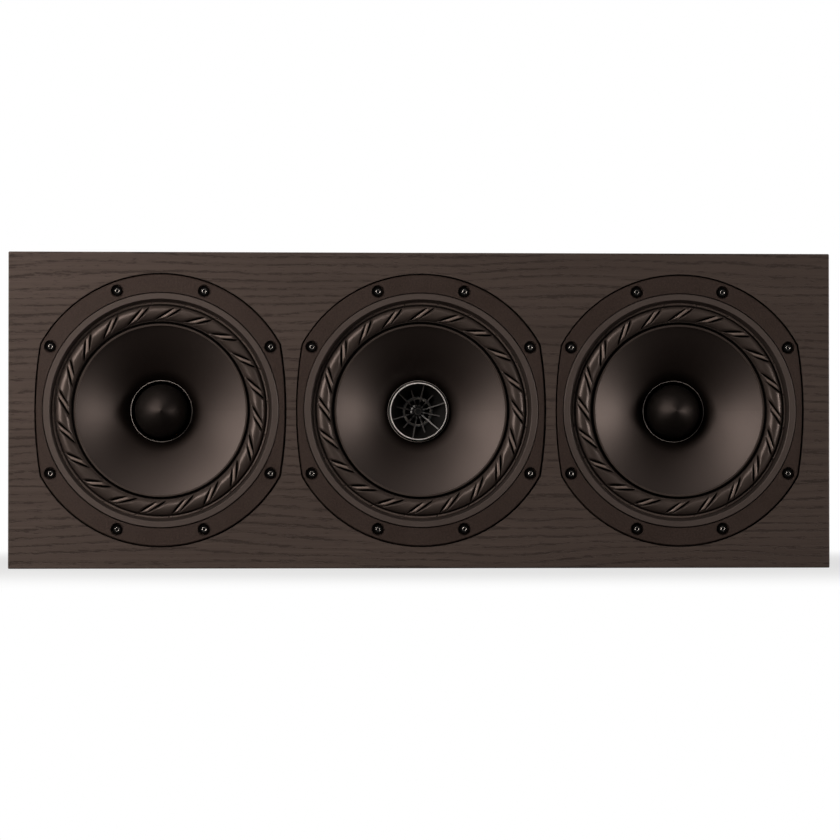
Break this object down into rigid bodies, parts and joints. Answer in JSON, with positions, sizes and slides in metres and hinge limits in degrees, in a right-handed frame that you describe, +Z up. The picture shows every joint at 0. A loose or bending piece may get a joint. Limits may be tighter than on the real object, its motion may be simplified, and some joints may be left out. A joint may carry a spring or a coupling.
{
  "type": "lcr speaker",
  "caption": "Wide sealed loudspeaker in a dark wood-grain cabinet: a coaxial driver with a finned tweeter sits between matching woofers, and the back has a recessed terminal cup.",
  "frame": {"origin": "middle of the cabinet's underside", "axes": "+X to the right and +Z up as the listener sees it; the front faces -Y"},
  "size_m": [0.68, 0.3, 0.261],
  "materials": {
    "veneered_board": "dark wood-grain vinyl, satin",
    "raw_board": "bare fibreboard",
    "wadding": "polyester wadding",
    "cast_frame": "black textured powder coat",
    "gasket_foam": "black foam",
    "black_screw": "black oxide",
    "trim_plastic": "satin black",
    "surround_rubber": "soft matte black",
    "cone_paper": "coated black paper",
    "coil_former": "thin rolled sheet",
    "spider_cloth": "resin-stiffened cotton",
    "motor_steel": "zinc plated steel",
    "ferrite": "sintered ferrite",
    "plug_plastic": "black",
    "bright_ring": "turned and polished",
    "horn_plastic": "black",
    "dome_metal": "dark anodised",
    "cup_plastic": "moulded black",
    "gilt_brass": "gilt",
    "red_plastic": "gloss",
    "black_plastic": "gloss",
    "copper_wire": "enamelled copper",
    "capacitor_case": "wrapped film"
  },
  "bodies": {
    "cabinet": {"front_baffle": "veneered_board", "top_panel": "veneered_board", "bottom_panel": "veneered_board", "left_panel": "veneered_board", "right_panel": "veneered_board", "rear_panel": "veneered_board", "left_brace": "raw_board", "right_brace": "raw_board", "damping_pads": "wadding", "left_phase_plug": "plug_plastic", "right_phase_plug": "plug_plastic", "tweeter_ring": "bright_ring", "tweeter_housing": "horn_plastic", "tweeter_fins": "horn_plastic", "tweeter_yoke": "motor_steel", "tweeter_magnet": "ferrite", "terminal_cup": "cup_plastic", "cup_screws": "black_screw", "binding_posts": "gilt_brass", "crossover_board": "raw_board", "crossover_coils": "copper_wire", "crossover_capacitors": "capacitor_case", "left_basket": "cast_frame", "left_gasket": "gasket_foam", "left_screws": "black_screw", "left_trim_ring": "trim_plastic", "left_surround": "surround_rubber", "left_spider": "spider_cloth", "left_top_plate": "motor_steel", "left_magnet": "ferrite", "left_yoke": "motor_steel", "centre_basket": "cast_frame", "centre_gasket": "gasket_foam", "centre_screws": "black_screw", "centre_trim_ring": "trim_plastic", "centre_surround": "surround_rubber", "centre_spider": "spider_cloth", "centre_top_plate": "motor_steel", "centre_magnet": "ferrite", "centre_yoke": "motor_steel", "right_basket": "cast_frame", "right_gasket": "gasket_foam", "right_screws": "black_screw", "right_trim_ring": "trim_plastic", "right_surround": "surround_rubber", "right_spider": "spider_cloth", "right_top_plate": "motor_steel", "right_magnet": "ferrite", "right_yoke": "motor_steel"},
    "left_cone": {"left_cone": "cone_paper", "left_voice_coil": "coil_former"},
    "centre_cone": {"centre_cone": "cone_paper", "centre_voice_coil": "coil_former"},
    "right_cone": {"right_cone": "cone_paper", "right_voice_coil": "coil_former"},
    "tweeter_dome": {"tweeter_dome": "dome_metal"},
    "red_knob": {"red_knob": "red_plastic"},
    "black_knob": {"black_knob": "black_plastic"}
  },
  "joints": [
    {"name": "left_cone_travel", "type": "slide", "parent": "cabinet", "child": "left_cone", "axis": [0, -1, 0], "range_m": [-0.006, 0.006], "stiffness_N_per_m": 1200, "deforming": ["left_surround", "left_spider"]},
    {"name": "centre_cone_travel", "type": "slide", "parent": "cabinet", "child": "centre_cone", "axis": [0, -1, 0], "range_m": [-0.006, 0.006], "stiffness_N_per_m": 1200, "deforming": ["centre_surround", "centre_spider"]},
    {"name": "right_cone_travel", "type": "slide", "parent": "cabinet", "child": "right_cone", "axis": [0, -1, 0], "range_m": [-0.006, 0.006], "stiffness_N_per_m": 1200, "deforming": ["right_surround", "right_spider"]},
    {"name": "tweeter_dome_travel", "type": "slide", "parent": "cabinet", "child": "tweeter_dome", "axis": [0, -1, 0], "range_m": [-0.0003, 0.0003], "stiffness_N_per_m": 400},
    {"name": "red_knob_turn", "type": "hinge", "parent": "cabinet", "child": "red_knob", "pos_m": [-0.0095, 0.138, 0.1305], "axis": [0, 1, 0], "continuous": true},
    {"name": "black_knob_turn", "type": "hinge", "parent": "cabinet", "child": "black_knob", "pos_m": [0.0095, 0.138, 0.1305], "axis": [0, 1, 0], "continuous": true}
  ]
}
